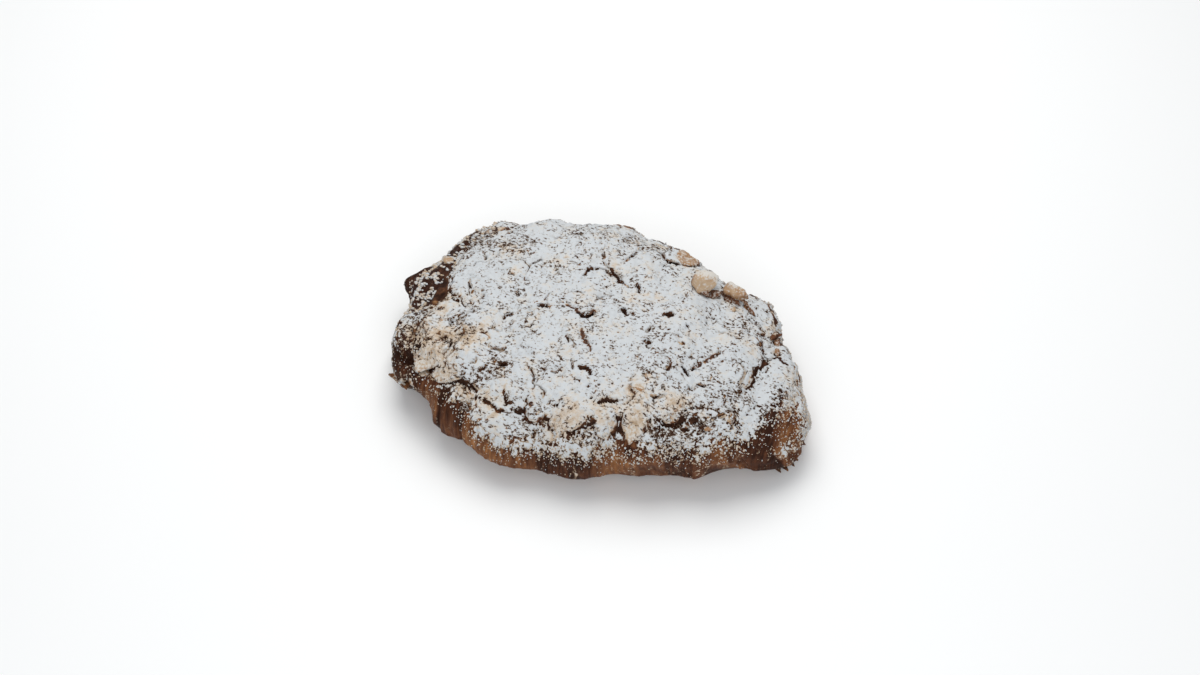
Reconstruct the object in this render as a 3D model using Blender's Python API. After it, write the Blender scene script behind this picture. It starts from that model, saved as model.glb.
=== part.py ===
"""An almond croissant: a flattened roll of baked dough, a crust of almond cream on it, and flaked almonds.

Metres, +Z up. The roll's long axis lies along X, its flat underside is on z = 0, and the origin is below
the middle of its box. Each separate piece is one closed solid, 0.3 mm or more clear of the next.
"""

import math

import bmesh
import bpy
from mathutils import Euler, Matrix, Vector, noise
from mathutils.bvhtree import BVHTree

MM = 0.001

# The roll of dough
ROLL_LENGTH = 163 * MM
ROLL_WIDTH = 106 * MM
ROLL_HEIGHT = 36 * MM
BELT_HEIGHT = 15 * MM  # height of the widest line round the roll
SINK = 4 * MM  # how far the round underside would reach below the tray that flattens it
RINGS = 84
SEGMENTS = 30
# The laps of dough, as the places along X of the grooves between them
GROOVES = [x * MM for x in (-81, -64, -52, -34, -3, 18, 39, 63, 76, 83)]
GROOVE_SLANT = 5 * MM  # a groove's front end lies this much further from the middle than its back end
LAP_RISE = 3.2 * MM

# The almond cream baked on top
CREAM_THICKNESS = 2.6 * MM
CREAM_DIP = 1.5 * MM  # how deep the cream is sunk before the roll is cut out of it
CREAM_RINGS = 20
CREAM_SEGMENTS = 56
GAP = 0.4 * MM

# A flaked almond: a slice across a blanched almond
FLAKE_LENGTH = 15.5 * MM
FLAKE_WIDTH = 10 * MM
FLAKE_THICKNESS = 1.1 * MM
FLAKE_POINTS = 18

CRUST_BROWN = (0.165, 0.073, 0.034)
CREAM_TAN = (0.52, 0.36, 0.22)
ALMOND_IVORY = (0.72, 0.58, 0.42)


def clear_scene():
    """Remove every object that the file holds."""
    for obj in list(bpy.data.objects):
        bpy.data.objects.remove(obj)


def new_collection(name):
    """Return a new collection that is linked to the scene."""
    made = bpy.data.collections.new(name)
    bpy.context.scene.collection.children.link(made)
    return made


def material(name, colour, roughness):
    """Return a Principled material of one colour."""
    made = bpy.data.materials.new(name)
    made.use_nodes = True
    shader = made.node_tree.nodes["Principled BSDF"]
    shader.inputs["Base Color"].default_value = (*colour, 1)
    shader.inputs["Roughness"].default_value = roughness
    shader.inputs["Metallic"].default_value = 0
    return made


def smoothstep(low, high, value):
    """Rise smoothly from 0 at low to 1 at high."""
    share = min(1, max(0, (value - low) / (high - low)))
    return share * share * (3 - 2 * share)


def power(value, exponent):
    """Raise the size of value to exponent, and keep its sign."""
    return math.copysign(abs(value) ** exponent, value)


def bump(point, centre, reach):
    """Fall smoothly from 1 at centre to 0 at the distance reach."""
    return 1 - smoothstep(0, reach, (point - centre).length)


# ---------------------------------------------------------------- the roll of dough


def half_width(share):
    """Half the roll's width, where share runs from -1 at the left end to 1 at the right: an egg's outline."""
    return ROLL_WIDTH * (0.495 - 0.1 * share - 0.06 * share**2)


def middle_line(share):
    """How far the roll's middle bows back, as a croissant's does; its right end bends to the front."""
    return (2.5 - 4 * share**2 - 2 * max(0, share) ** 3) * MM


def crown(share):
    """The height of the roll's top along its length."""
    return ROLL_HEIGHT * (1 - 0.2 * abs(share) ** 2.2)


def lap_swell(x, across):
    """Swell of the lap of dough at x: -1 in a groove, 1 on the lap's back. across runs from -1, front, to 1."""
    x += math.copysign(GROOVE_SLANT, x) * 0.5 * across
    for low, high in zip(GROOVES, GROOVES[1:]):
        if low <= x <= high:
            return 2 * math.sin(math.pi * (x - low) / (high - low)) ** 0.7 - 1
    return -1


def roll_point(unit):
    """Carry a point of the unit sphere, its poles on X, to the roll's surface."""
    share = unit.x
    end = math.sqrt(max(0, 1 - share * share))
    blunt = end**0.72
    around = math.atan2(unit.z, unit.y)
    across, up = math.cos(around), math.sin(around)
    x = share * ROLL_LENGTH / 2
    width = half_width(share) * blunt
    swell = lap_swell(x, across) * LAP_RISE / 2 * blunt
    if up >= 0:
        y = (width + swell) * power(across, 0.84)
        z = BELT_HEIGHT + ((crown(share) - BELT_HEIGHT) * blunt + swell) * up**0.84
    else:
        y = (width + swell) * power(across, 0.62)
        z = BELT_HEIGHT - (BELT_HEIGHT + SINK) * blunt**0.5 * abs(up) ** 0.62
    lumpy = noise.noise(Vector((x, y, z)) / (22 * MM)) * 2.4 * MM
    outward = Vector((0, across, max(0, up)))
    return Vector((x, y + middle_line(share), z)) + outward * lumpy * blunt


# Dents (negative) and bulges (positive) of this croissant: place, reach and push, in millimetres
DENTS = {
    "hollow of the left end": ((-84, -8, 16), 15, -6),
    "back flap of the left end": ((-84, 7, 18), 9, 6),
    "behind the back flap": ((-78, 22, 18), 14, -3),
    "middle of the left end": ((-80, -20, 16), 9, -4),
    "front flap of the left end": ((-78, -30, 12), 12, -3),
    "left of the front bulge": ((-61, -42, 8), 17, -8),
    "front bulge": ((-24, -58, 10), 22, 5),
    "front middle": ((2, -52, 6), 20, 4),
    "hollow right of the front bulge": ((32, -45, 8), 15, -5),
    "front right": ((62, -33, 5), 17, -5),
    "right end's front corner": ((82, -18, 6), 11, 4),
    "right end's nose": ((82, 10, 17), 14, -5),
    "hollow behind the nose": ((72, 24, 18), 12, -4),
    "back right bulge": ((54, 40, 21), 17, 6),
    "notch of the back right": ((30, 52, 23), 10, -5),
    "back right shoulder": ((18, 54, 20), 12, 5),
    "back middle": ((-8, 56, 22), 20, 4),
    "back left corner": ((-62, 41, 20), 13, 4),
}


def shaped_by_hand(point):
    """Push a surface point in or out by the croissant's own dents and bulges."""
    from_middle = Vector((point.x, point.y, 0)) - Vector((point.x * 0.6, 0, 0))
    outward = from_middle.normalized() if from_middle.length > MM else Vector((0, 0, 0))
    for place, reach, push in DENTS.values():
        point = point + outward * push * MM * bump(point, Vector(place) * MM, reach * MM)
    return point


def make_roll(group, crust):
    """The baked dough, from a sphere whose rings follow the roll's length. Its underside is flat."""
    shape = bmesh.new()
    turn = Matrix.Rotation(math.pi / 2, 4, "Y")
    bmesh.ops.create_uvsphere(shape, u_segments=SEGMENTS, v_segments=RINGS, radius=1, matrix=turn)
    for vertex in shape.verts:
        point = shaped_by_hand(roll_point(vertex.co))
        vertex.co = (point.x, point.y, max(0, point.z))
    centre_in_plan(shape)
    bmesh.ops.recalc_face_normals(shape, faces=shape.faces)
    return add_object("croissant", shape, group, crust)


def centre_in_plan(shape):
    """Move the shape along X and Y so that the middle of its box comes over the origin."""
    for axis in (0, 1):
        places = [vertex.co[axis] for vertex in shape.verts]
        middle = (min(places) + max(places)) / 2
        for vertex in shape.verts:
            vertex.co[axis] -= middle


def add_object(name, shape, group, finish):
    """Turn a bmesh into a smooth-shaded object of the given material."""
    mesh = bpy.data.meshes.new(name)
    shape.to_mesh(mesh)
    shape.free()
    mesh.shade_smooth()
    mesh.materials.append(finish)
    made = bpy.data.objects.new(name, mesh)
    group.objects.link(made)
    return made


def surface_of(*objects):
    """A search tree over the evaluated faces of objects that sit at the origin."""
    bpy.context.view_layer.update()
    shape = bmesh.new()
    for obj in objects:
        evaluated = obj.evaluated_get(bpy.context.evaluated_depsgraph_get())
        shape.from_mesh(evaluated.to_mesh())
        evaluated.to_mesh_clear()
    tree = BVHTree.FromBMesh(shape)
    shape.free()
    return tree


def height_at(tree, x, y):
    """The surface's height above (x, y), or None beside it."""
    hit = tree.ray_cast(Vector((x, y, 1)), Vector((0, 0, -1)))[0]
    return None if hit is None else hit.z


# ---------------------------------------------------------------- the almond cream


def cream_edge(angle):
    """The cream's outline seen from above: how far it spreads from its middle, in direction angle."""
    along, across = math.cos(angle), math.sin(angle)
    half_length = 70 * MM
    half_depth = (46 if across > 0 else 49) * MM
    reach = ((abs(along) / half_length) ** 2.8 + (abs(across) / half_depth) ** 2.8) ** (-1 / 2.8)
    scallop = math.sin(9 * angle + 0.6) + 0.7 * math.sin(14 * angle + 2.1) + 0.5 * math.sin(23 * angle)
    return reach + scallop * 1.3 * MM


CREAM_MIDDLE = Vector((-5 * MM, 1 * MM))


def make_cream(group, tan, roll):
    """The almond cream, a lumpy lens laid over the roll, with the roll cut out of its underside."""
    tree = surface_of(roll)
    shape = bmesh.new()
    bmesh.ops.create_uvsphere(shape, u_segments=CREAM_SEGMENTS, v_segments=CREAM_RINGS, radius=1)
    for vertex in shape.verts:
        unit = vertex.co.copy()
        spread = math.asin(min(1, math.hypot(unit.x, unit.y))) / (math.pi / 2)
        angle = math.atan2(unit.y, unit.x)
        reach = cream_edge(angle) * spread**0.8
        x = CREAM_MIDDLE.x + reach * math.cos(angle)
        y = CREAM_MIDDLE.y + reach * math.sin(angle) * taper(x)
        lift = CREAM_THICKNESS * (1 - spread**8) ** 0.5 if unit.z > 0 else -CREAM_DIP
        lumps = noise.noise(Vector((x, y, 0)) / (9 * MM)) * 1.1 * MM if unit.z > 0 else 0
        vertex.co = (x, y, height_at(tree, x, y) + lift + lumps)
    bmesh.ops.recalc_face_normals(shape, faces=shape.faces)
    cream = add_object("almond_cream", shape, group, tan)
    cream.modifiers.new("rests_on_roll", "BOOLEAN").object = grown_copy(roll, GAP)
    return cream


def taper(x):
    """The share of the cream's depth that is left at x, as the roll narrows towards its ends."""
    right = 0.22 * smoothstep(-10 * MM, 80 * MM, x)
    left = 0.12 * smoothstep(-30 * MM, -80 * MM, x)
    return 1.02 - right - left


def grown_copy(obj, gap):
    """A copy of obj that is bigger by gap all round, kept as a cutter that isn't part of the food."""
    cutter = bpy.data.objects.new(obj.name + "_cutter", obj.data.copy())
    cutters.objects.link(cutter)
    grow = cutter.modifiers.new("grow", "DISPLACE")
    grow.strength = gap
    grow.mid_level = 0
    cutter.hide_render = True
    cutter.display_type = "WIRE"
    return cutter


# ---------------------------------------------------------------- the flaked almonds


def flake_outline(length, width):
    """The outline of one slice: round at one end and drawn to a soft point at the other."""
    points = []
    for i in range(FLAKE_POINTS):
        turn = 2 * math.pi * i / FLAKE_POINTS
        x = length / 2 * math.cos(turn)
        y = width / 2 * math.sin(turn) * (0.35 + 0.75 * abs(math.sin(turn / 2)))
        points.append((x, y))
    return points


def make_flake(name, group, ivory, size, thickness):
    """One slice of almond as a flat outline with a thickness, lying at the origin."""
    outline = bpy.data.curves.new(name, "CURVE")
    outline.dimensions = "2D"
    outline.fill_mode = "BOTH"
    outline.extrude = thickness / 2
    spline = outline.splines.new("POLY")
    points = flake_outline(FLAKE_LENGTH * size, FLAKE_WIDTH * size)
    spline.points.add(len(points) - 1)
    for slot, (x, y) in zip(spline.points, points):
        slot.co = (x, y, 0, 1)
    spline.use_cyclic_u = True
    outline.materials.append(ivory)
    made = bpy.data.objects.new(name, outline)
    group.objects.link(made)
    return made


def lie_of_the_land(tree, x, y, reach):
    """The upward direction of the plane through the surface's heights on four sides of (x, y)."""
    right, left = height_at(tree, x + reach, y), height_at(tree, x - reach, y)
    back, front = height_at(tree, x, y + reach), height_at(tree, x, y - reach)
    return Vector((left - right, front - back, 2 * reach)).normalized()


def lay_down(flake, tree, place, heading, tilt, size, thickness):
    """Set a flake on the surface at place, turned by heading and propped up by tilt, clear by the gap."""
    x, y = (value * MM for value in place)
    normal = lie_of_the_land(tree, x, y, FLAKE_WIDTH * size / 2)
    lean = Vector((0, 0, 1)).rotation_difference(normal)
    turn = lean.to_matrix() @ Euler((math.radians(tilt), 0, math.radians(heading)), "YXZ").to_matrix()
    low = 1
    for px, py in flake_outline(FLAKE_LENGTH * size, FLAKE_WIDTH * size):
        for share in (1, 0.66, 0.33, 0):
            corner = turn @ Vector((px * share, py * share, -thickness / 2))
            ground = height_at(tree, x + corner.x, y + corner.y)
            if ground is not None:
                low = min(low, corner.z - ground)
    flake.matrix_world = Matrix.Translation((x, y, GAP - low)) @ turn.to_4x4()


# The flakes that stand clear of the sugar: place on X and Y in mm, heading and tilt in degrees, size
FLAT_FLAKES = [
    ((-54, -32), 35, 0, 1.0),
    ((-45, -38), 10, 0, 0.95),
    ((-42, -29), 120, 0, 0.8),
    ((-61, -19), 80, 0, 0.8),
    ((4, -44), 20, 0, 0.85),
    ((-9, -42), 115, 8, 0.8),
    ((17, -41), 100, 0, 0.75),
    ((27, -37), 95, 0, 1.0),
    ((38, -26), 75, 0, 1.0),
    ((27, -25), 178, 22, 0.8),
    ((-3, -14), 130, 5, 0.9),
    ((-7, 2), 12, 6, 1.0),
    ((42, -3), 60, 5, 0.9),
    ((57, -4), 75, 0, 0.8),
    ((-15, 39), 30, 0, 0.9),
    ((19, 40), 8, 30, 0.9),
    ((-50, 5), 120, 0, 0.9),
    ((-27, 14), 60, 5, 0.95),
]
# Two thick slices that lean against the cream at the back, with their faces to the front
PROPPED_FLAKES = [
    ((31, 28), 8, 42, 0.78),
    ((42, 29), -12, 36, 0.62),
]
PROPPED_THICKNESS = 2.4 * MM


def make_flakes(group, ivory, cream, roll):
    """All the flakes, each laid on the cream and, past its edge, on the roll."""
    tree = surface_of(cream, roll)
    kinds = ((FLAT_FLAKES, "almond_flake", FLAKE_THICKNESS), (PROPPED_FLAKES, "almond_chunk", PROPPED_THICKNESS))
    for rows, kind, thickness in kinds:
        for number, (place, heading, tilt, size) in enumerate(rows, start=1):
            flake = make_flake(f"{kind}_{number:02d}", group, ivory, size, thickness)
            lay_down(flake, tree, place, heading, tilt, size, thickness)


clear_scene()
food = new_collection("almond_croissant")
cutters = new_collection("cutters")
roll_of_dough = make_roll(food, material("baked_crust", CRUST_BROWN, 0.5))
almond_cream = make_cream(food, material("almond_cream", CREAM_TAN, 0.8), roll_of_dough)
make_flakes(food, material("almond", ALMOND_IVORY, 0.6), almond_cream, roll_of_dough)
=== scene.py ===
# %% [markdown]
# # An almond croissant, dressed in Blender
# A bakery splits yesterday's croissant, fills it with almond cream, presses it flat, spreads more cream
# on top, scatters flaked almonds, bakes it again and sifts icing sugar over it. This notebook dresses a
# solid model of one in that order: the browned dough first, then the cream, the almonds, and the sugar
# last, so that each layer lies on the one before it, as it does in the kitchen.

# %% Load the solid model
import math
import random

import bmesh
import bpy
import numpy as np
from mathutils import Euler, Matrix, Vector, noise
from mathutils.bvhtree import BVHTree


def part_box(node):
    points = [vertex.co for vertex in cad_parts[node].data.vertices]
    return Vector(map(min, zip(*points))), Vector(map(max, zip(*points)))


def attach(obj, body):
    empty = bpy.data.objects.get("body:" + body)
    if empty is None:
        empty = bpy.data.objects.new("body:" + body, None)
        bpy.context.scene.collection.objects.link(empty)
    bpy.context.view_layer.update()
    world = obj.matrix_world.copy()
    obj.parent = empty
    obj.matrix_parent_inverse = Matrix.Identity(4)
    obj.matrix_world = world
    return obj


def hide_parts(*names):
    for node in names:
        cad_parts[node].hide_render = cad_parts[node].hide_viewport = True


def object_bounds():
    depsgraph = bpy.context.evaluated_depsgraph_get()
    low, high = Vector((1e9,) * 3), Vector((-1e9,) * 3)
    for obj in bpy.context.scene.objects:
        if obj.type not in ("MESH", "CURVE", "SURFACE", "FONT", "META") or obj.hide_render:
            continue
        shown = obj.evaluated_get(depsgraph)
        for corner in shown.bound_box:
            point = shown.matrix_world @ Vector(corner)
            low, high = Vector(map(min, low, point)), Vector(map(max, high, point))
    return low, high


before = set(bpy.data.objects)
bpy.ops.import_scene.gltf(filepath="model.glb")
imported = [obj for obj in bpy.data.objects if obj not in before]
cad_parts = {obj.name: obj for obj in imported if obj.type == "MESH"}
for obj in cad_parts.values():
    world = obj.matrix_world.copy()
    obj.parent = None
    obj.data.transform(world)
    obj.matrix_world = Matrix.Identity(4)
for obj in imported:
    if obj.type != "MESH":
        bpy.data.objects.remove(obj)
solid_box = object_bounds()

MM = 0.001
low, high = (np.array(corner) / MM for corner in solid_box)
print("the solid model, in mm:", low.round(1), "to", high.round(1))

# %% [markdown]
# ## Small helpers
# Blender's operators act on whatever is selected, so every step starts by selecting one object alone. A
# modifier is a recipe; applying it turns the recipe into real faces, which later steps can then build on.
# These steps could be written out each time, but they repeat all through the notebook, so each has a
# name.


# %% Select one object, and bake its modifiers into its mesh
def pick(piece):
    """Select this piece alone and make it active."""
    bpy.ops.object.select_all(action="DESELECT")
    piece.select_set(True)
    bpy.context.view_layer.objects.active = piece
    return piece


def apply_all(piece):
    """Turn the piece's modifiers, and its own place, turn and scale, into plain mesh."""
    pick(piece)
    for modifier in list(piece.modifiers):
        bpy.ops.object.modifier_apply(modifier=modifier.name)
    bpy.ops.object.transform_apply(location=True, rotation=True, scale=True)
    return piece


def edit_all(piece, operator, **settings):
    """Run one edit-mode operator on the whole of a piece."""
    pick(piece)
    bpy.ops.object.mode_set(mode="EDIT")
    bpy.ops.mesh.select_all(action="SELECT")
    operator(**settings)
    bpy.ops.object.mode_set(mode="OBJECT")


def named(name):
    """Give the object that was just added its name."""
    piece = bpy.context.active_object
    piece.name = piece.data.name = name
    return piece


def duplicate(original, name):
    """A copy of a piece with a mesh of its own, which hangs on nothing."""
    piece = original.copy()
    piece.data = original.data.copy()
    piece.name = piece.data.name = name
    piece.parent = None
    bpy.context.scene.collection.objects.link(piece)
    return piece


def triangles(piece):
    """How many triangles the piece has."""
    return sum(len(face.vertices) - 2 for face in piece.data.polygons)


# %% [markdown]
# ## Sculpting by numbers
# A sculptor's brush moves points along their normals. Crumbs and crusts could be brushed in by hand, but
# then they couldn't be changed or made again. Here the brush is a formula: the points come out of the
# mesh as rows of millimetres, and go back in after each row is moved. `grain` is smooth random noise
# whose lumps are as long as `size` says on each axis, so a long size on one axis draws the noise out into
# streaks.


# %% Read and write a mesh's points in millimetres
def points_of(piece):
    """The piece's points, one row each, in millimetres."""
    rows = np.empty(len(piece.data.vertices) * 3)
    piece.data.vertices.foreach_get("co", rows)
    return rows.reshape(-1, 3) / MM


def normals_of(piece):
    """The outward direction at each of the piece's points."""
    rows = np.empty(len(piece.data.vertices) * 3)
    piece.data.vertices.foreach_get("normal", rows)
    return rows.reshape(-1, 3)


def set_points(piece, rows):
    """Put the points back into the piece."""
    piece.data.vertices.foreach_set("co", (rows * MM).ravel())
    piece.data.update()


def grain(rows, size, seed=0):
    """Smooth noise from about -1 to 1, its lumps about `size` millimetres across."""
    scaled = rows / np.broadcast_to(size, 3) + seed * 17.3
    return np.array([noise.noise(row) for row in scaled.tolist()]) * 1.6


def bump(rows, place, reach):
    """1 at a place, falling smoothly to 0 at the distance `reach`; the place may leave out its height."""
    away = np.linalg.norm(rows[:, : len(place)] - place, axis=1) / reach
    return 0.5 + 0.5 * np.cos(np.pi * np.clip(away, 0, 1))


def ease(low, high, values):
    """Rise smoothly from 0 at low to 1 at high."""
    share = np.clip((values - low) / (high - low), 0, 1)
    return share * share * (3 - 2 * share)


def keep_numbers(piece, name, values):
    """Store one number at each point of the piece, for its material to read."""
    piece.data.attributes.new(name, "FLOAT", "POINT").data.foreach_set("value", values.astype(np.float32))


# %% [markdown]
# ## Camera, light and table
# The croissant is seen from the front and from above, a little from its right. A sun lamp would draw hard
# shadows in the sugar, and a shop window gives soft light, so one big area light from behind and above
# does most of the work and a dim fill keeps the front from going black. Whites must stay white, so the
# plain Standard view transform is used.

# %% Look down at the croissant
VIEW_AZIMUTH, VIEW_ELEVATION, VIEW_DISTANCE = math.radians(20), math.radians(52), 650
VIEW_TARGET = Vector((0.7, -2.0, 18.0))
VIEW_RAISED = 4.9  # how far above its target the camera aims, so that the croissant sits a little low
LENS, SENSOR = 51.7, 36  # mm

backwards = Vector((math.sin(VIEW_AZIMUTH) * math.cos(VIEW_ELEVATION),
                    -math.cos(VIEW_AZIMUTH) * math.cos(VIEW_ELEVATION), math.sin(VIEW_ELEVATION)))
upwards = backwards.cross(Vector((math.cos(VIEW_AZIMUTH), math.sin(VIEW_AZIMUTH), 0)))
eye = VIEW_TARGET + backwards * VIEW_DISTANCE
aim = VIEW_TARGET + upwards * VIEW_RAISED
bpy.ops.object.camera_add(location=eye * MM, rotation=(eye - aim).to_track_quat("Z", "Y").to_euler())
camera = bpy.context.active_object
camera.data.lens = LENS
camera.data.sensor_width = SENSOR
bpy.context.scene.camera = camera
bpy.context.scene.view_settings.view_transform = "Standard"
print("camera", [round(c) for c in eye], "mm")


# %% Set the lights
def softbox(name, place, size, power, colour):
    """A square area light at a place in mm, facing the croissant."""
    place = Vector(place)
    facing = place.to_track_quat("Z", "Y").to_euler()
    bpy.ops.object.light_add(type="AREA", location=place * MM, rotation=facing)
    light = named(name).data
    light.size = size * MM
    light.energy = power
    light.color = colour


softbox("overhead", (-120, 260, 620), 500, 3.1, (1.0, 0.99, 0.97))
softbox("fill", (200, -540, 300), 500, 1.5, (0.97, 0.985, 1.0))
world = bpy.data.worlds.new("studio")
world.use_nodes = True
world.node_tree.nodes["Background"].inputs["Color"].default_value = (0.93, 0.96, 1.0, 1)
world.node_tree.nodes["Background"].inputs["Strength"].default_value = 0.55
bpy.context.scene.world = world

# %% Lay the table
bpy.ops.mesh.primitive_plane_add(size=4, location=(0, 0, 0))
table_top = named("table_top")

# %% [markdown]
# ## Materials
# Every finish is a Principled shader fed by noise whose scale is a real size in millimetres. Pictures
# could be wrapped round the pieces instead, but noise needs no files, shows no seams and can be as fine
# as it likes. One function turns a colour from a picker into Blender's linear numbers, and one adds a
# node with its settings and links. Three short ones put together the nodes that always go together.


# %% Helpers for materials
def linear(hexcode):
    """A picker's hex colour as linear red, green, blue and alpha."""
    parts = [int(hexcode[i : i + 2], 16) / 255 for i in (1, 3, 5)]
    return (*(p / 12.92 if p <= 0.04045 else ((p + 0.055) / 1.055) ** 2.4 for p in parts), 1)


def add_node(tree, kind, inputs, output=0, stops=(), **settings):
    """Add a shader node and give back one of its outputs.

    An input is a value or another node's output, and a setting is an attribute of the node. The stops of a
    colour ramp are pairs of a place from 0 to 1 and a hex colour.
    """
    node = tree.nodes.new("ShaderNode" + kind)
    for name, value in settings.items():
        setattr(node, name, value)
    for name, value in inputs.items():
        if isinstance(value, bpy.types.NodeSocket):
            tree.links.new(value, node.inputs[name])
        else:
            node.inputs[name].default_value = value
    if stops:
        elements = node.color_ramp.elements
        while len(elements) < len(stops):
            elements.new(0.5)
        for element, (position, hexcode) in zip(elements, stops):
            element.position = position
            element.color = linear(hexcode)
    return node.outputs[output]


def new_finish(name, roughness, specular):
    """A material with a Principled shader, and its tree, its shader and its Object coordinates."""
    finish = bpy.data.materials.new(name)
    finish.use_nodes = True
    tree = finish.node_tree
    shader = tree.nodes["Principled BSDF"]
    shader.inputs["Roughness"].default_value = roughness
    shader.inputs["Specular IOR Level"].default_value = specular
    return finish, tree, shader, add_node(tree, "TexCoord", {}, "Object")


def lumpy(tree, place, size, stretch=(1, 1, 1), **inputs):
    """Noise from 0 to 1 whose lumps have a size in mm, drawn out along the axes by a stretch."""
    scale = tuple(1 / (size * MM * s) for s in stretch)
    laid = add_node(tree, "Mapping", {"Vector": place, "Scale": scale})
    return add_node(tree, "TexNoise", {"Vector": laid, "Scale": 1, **inputs})


def centred(tree, value, strength):
    """A noise from 0 to 1 turned into a change from -strength / 2 to strength / 2."""
    around_zero = add_node(tree, "Math", {0: value, 1: 0.5}, operation="SUBTRACT")
    return add_node(tree, "Math", {0: around_zero, 1: strength}, operation="MULTIPLY")


def sharpened(tree, value, edge, steepness):
    """0 well below an edge and 1 well above it."""
    past = add_node(tree, "Math", {0: value, 1: edge}, operation="SUBTRACT")
    return add_node(tree, "Math", {0: past, 1: steepness, 2: 0.5}, operation="MULTIPLY_ADD", use_clamp=True)


# %% [markdown]
# ** Baked crust.** Butter dough browns where it meets the oven's heat: ridges and ends go dark, sheltered
# folds stay light. Each lap's browning is stored on the mesh. With it is stored painted shade in the
# grooves, near the table, in the pocket at the left end and under the edge of the sugar. Here it becomes a
# colour, broken by fine streaks that run down the lap, where the thin layers of dough show. Butter leaves a
# slight gloss. Sugar dust clings to it as fine specks, more of them where the mesh stores more dust.

# %% Baked crust: how brown it is
SUGAR_WHITE, SUGAR_WARM, SUGAR_TAN = "#C5C8CA", "#C7B9A9", "#B0997F"
CRUST_STOPS = [(0.0, "#A87850"), (0.25, "#875A36"), (0.5, "#6A442C"), (0.75, "#4D2D1D"), (1.0, "#2F190F")]

baked_crust, tree, shader, place = new_finish("baked_crust", 0.6, 0.06)
streaks = lumpy(tree, place, 0.9, (1, 14, 9), Detail=3)
mottle = lumpy(tree, place, 3.5, Detail=4)
# The stored number is the crust's browning together with its painted shade.
bake_and_shade = add_node(tree, "Attribute", {}, "Fac", attribute_name="bake_and_shade")
bake_and_shade = add_node(tree, "Math", {0: bake_and_shade, 1: centred(tree, streaks, 0.9)}, operation="ADD")
bake_and_shade = add_node(tree, "Math", {0: bake_and_shade, 1: centred(tree, mottle, 0.5)}, operation="ADD", use_clamp=True)
browned_and_shaded = add_node(tree, "ValToRGB", {"Fac": bake_and_shade}, stops=CRUST_STOPS)
print("the crust browns from", CRUST_STOPS[0][1], "to", CRUST_STOPS[-1][1])

# %% Baked crust: its dust of sugar
strings = lumpy(tree, place, 2.2, (1, 1, 7), Detail=2)
powder = lumpy(tree, place, 1.0, (1.2, 1.1, 1.3), Detail=5, Roughness=0.65)
powder = add_node(tree, "Math", {0: powder, 1: centred(tree, strings, 0.42)}, operation="ADD")
dust = add_node(tree, "Attribute", {}, "Fac", attribute_name="dust")
grains = add_node(tree, "Math", {0: powder, 1: centred(tree, dust, 0.34)}, operation="ADD")
specked = sharpened(tree, grains, 0.55, 26)
amount = add_node(tree, "Math", {0: dust, 1: 1.4}, operation="MULTIPLY")
heart = sharpened(tree, grains, 0.6, 18)  # the middle of a grain is thicker and whiter than its rim
pale = add_node(tree, "Math", {0: heart, 1: amount}, operation="MULTIPLY", use_clamp=True)
tints = {"Color1": linear(SUGAR_TAN), "Color2": linear(SUGAR_WHITE)}
sugar = add_node(tree, "MixRGB", {"Fac": pale, **tints})
crust_colour = add_node(tree, "MixRGB", {"Fac": specked, "Color1": browned_and_shaded, "Color2": sugar})
tree.links.new(crust_colour, shader.inputs["Base Color"])

# %% Baked crust: its gloss and its fine relief
gloss = add_node(tree, "Math", {0: mottle, 1: 0.35}, operation="MULTIPLY")
gloss = add_node(tree, "Math", {0: gloss, 1: 0.3}, operation="ADD")
gloss = add_node(tree, "Math", {0: gloss, 1: specked}, operation="MAXIMUM")  # dusty specks are matt
tree.links.new(gloss, shader.inputs["Roughness"])
pits = lumpy(tree, place, 0.5, Detail=2)
raised = add_node(tree, "Math", {0: streaks, 1: 0.6}, operation="MULTIPLY")
raised = add_node(tree, "Math", {0: raised, 1: pits}, operation="ADD")
relief = add_node(tree, "Bump", {"Height": raised, "Distance": 0.25 * MM, "Strength": 1})
tree.links.new(relief, shader.inputs["Normal"])

# %% [markdown]
# ** Almond cream.** Baked ground almonds, butter and egg: matt, crumbly and tan, toasted brown at the
# rim, and painted dark brown as shade in its hollows and cracks. The mesh stores how toasted and how shaded
# it is, and crumbs of about a millimetre break that up.

# %% Almond cream
CREAM_STOPS = [(0.0, "#B99D7E"), (0.3, "#85603F"), (0.55, "#573724"), (1.0, "#2D1A11")]

almond_cream, tree, shader, place = new_finish("almond_cream", 0.75, 0.1)
crumb = lumpy(tree, place, 1.1, Detail=3)
toast_and_shade = add_node(tree, "Attribute", {}, "Fac", attribute_name="toast_and_shade")
toast_and_shade = add_node(tree, "Math", {0: toast_and_shade, 1: centred(tree, crumb, 0.8)}, operation="ADD", use_clamp=True)
browned_and_shaded = add_node(tree, "ValToRGB", {"Fac": toast_and_shade}, stops=CREAM_STOPS)
tree.links.new(browned_and_shaded, shader.inputs["Base Color"])
relief = add_node(tree, "Bump", {"Height": crumb, "Distance": 0.3 * MM, "Strength": 1})
tree.links.new(relief, shader.inputs["Normal"])

# %% [markdown]
# ** Flaked almond.** Slices of blanched almond: ivory, with a fine grain and an oily sheen, toasted brown
# at the rim. Painted shade darkens them underneath, in the cracks, and on thick pieces and chips where
# shade falls. The mesh stores how toasted, how shaded and how dusted each point is, so that one
# material can serve slices, thick pieces and chips.

# %% Flaked almond
ALMOND_STOPS = [(0.0, "#B59C80"), (0.35, "#967252"), (0.7, "#68422A"), (1.0, "#3C2216")]
DUSTED_WHITE = "#C8C3BB"

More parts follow.
